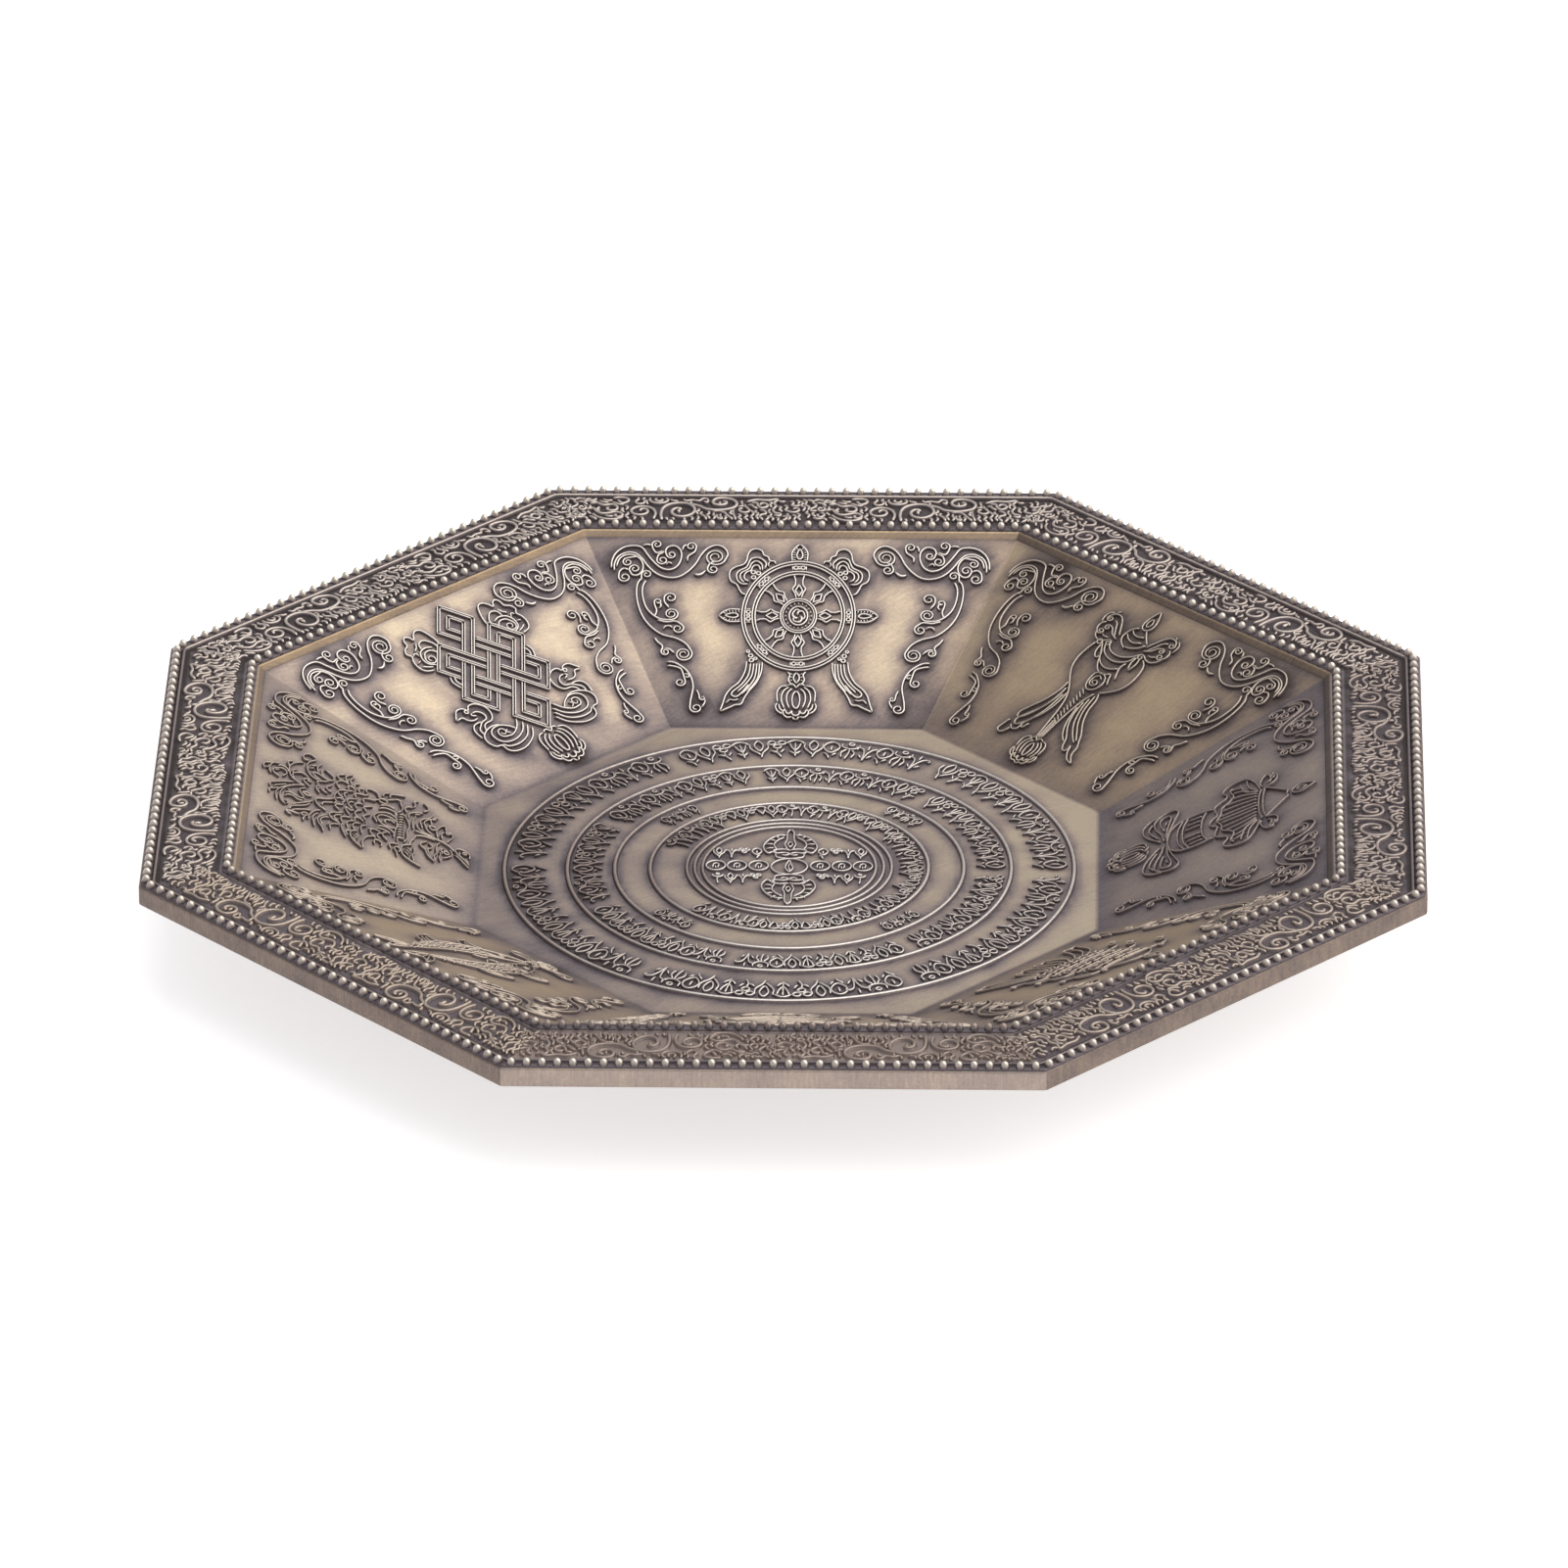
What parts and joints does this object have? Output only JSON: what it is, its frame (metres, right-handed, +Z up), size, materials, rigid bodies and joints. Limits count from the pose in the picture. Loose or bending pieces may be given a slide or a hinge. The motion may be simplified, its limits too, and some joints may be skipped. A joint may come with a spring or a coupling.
{
  "type": "fire offering tray",
  "caption": "Octagonal shallow cast-metal tray for fire and smoke offerings, with beaded rim, sloping walls and raised auspicious ornament.",
  "frame": {"origin": "middle of the tray's flat underside, on the surface it stands on", "axes": "+Z up out of the tray, +Y towards the wall with the wheel, +X towards the wall with the parasol"},
  "size_m": [0.2, 0.2, 0.0207],
  "materials": {
    "casting": "antique bronze, brushed, with a dark wash in the recesses",
    "beads": "worn bright on the crowns, dark between",
    "frieze": "dark wash with worn line tops",
    "relief": "antique bronze, line tops rubbed bright",
    "floor_relief": "antique bronze, line tops rubbed bright"
  },
  "bodies": {
    "root": {"tray_shell": "casting", "banner_front_right": "relief", "conch_back_right": "relief", "endless_knot_back_left": "relief", "fish_pair_front_left": "relief", "floor_ring_fourth": "floor_relief", "floor_ring_outer": "floor_relief", "floor_ring_second": "floor_relief", "floor_ring_third": "floor_relief", "frieze_back": "frieze", "frieze_back_left": "frieze", "frieze_back_right": "frieze", "frieze_front": "frieze", "frieze_front_left": "frieze", "frieze_front_right": "frieze", "frieze_left": "frieze", "frieze_right": "frieze", "inner_bead_row": "beads", "lotus_left": "relief", "medallion_ring_inner": "floor_relief", "medallion_ring_middle": "floor_relief", "medallion_ring_outer": "floor_relief", "medallion_vajra": "floor_relief", "ornament_band_fourth": "floor_relief", "ornament_band_outer": "floor_relief", "ornament_band_second": "floor_relief", "outer_bead_row": "beads", "parasol_right": "relief", "quarter_motif_back_left": "floor_relief", "quarter_motif_back_right": "floor_relief", "quarter_motif_front_left": "floor_relief", "quarter_motif_front_right": "floor_relief", "rim_line": "frieze", "scroll_back_l": "relief", "scroll_back_left_l": "relief", "scroll_back_left_r": "relief", "scroll_back_r": "relief", "scroll_back_right_l": "relief", "scroll_back_right_r": "relief", "scroll_front_l": "relief", "scroll_front_left_l": "relief", "scroll_front_left_r": "relief", "scroll_front_r": "relief", "scroll_front_right_l": "relief", "scroll_front_right_r": "relief", "scroll_left_l": "relief", "scroll_left_r": "relief", "scroll_right_l": "relief", "scroll_right_r": "relief", "vase_front": "relief", "wheel_back": "relief"}
  },
  "joints": []
}
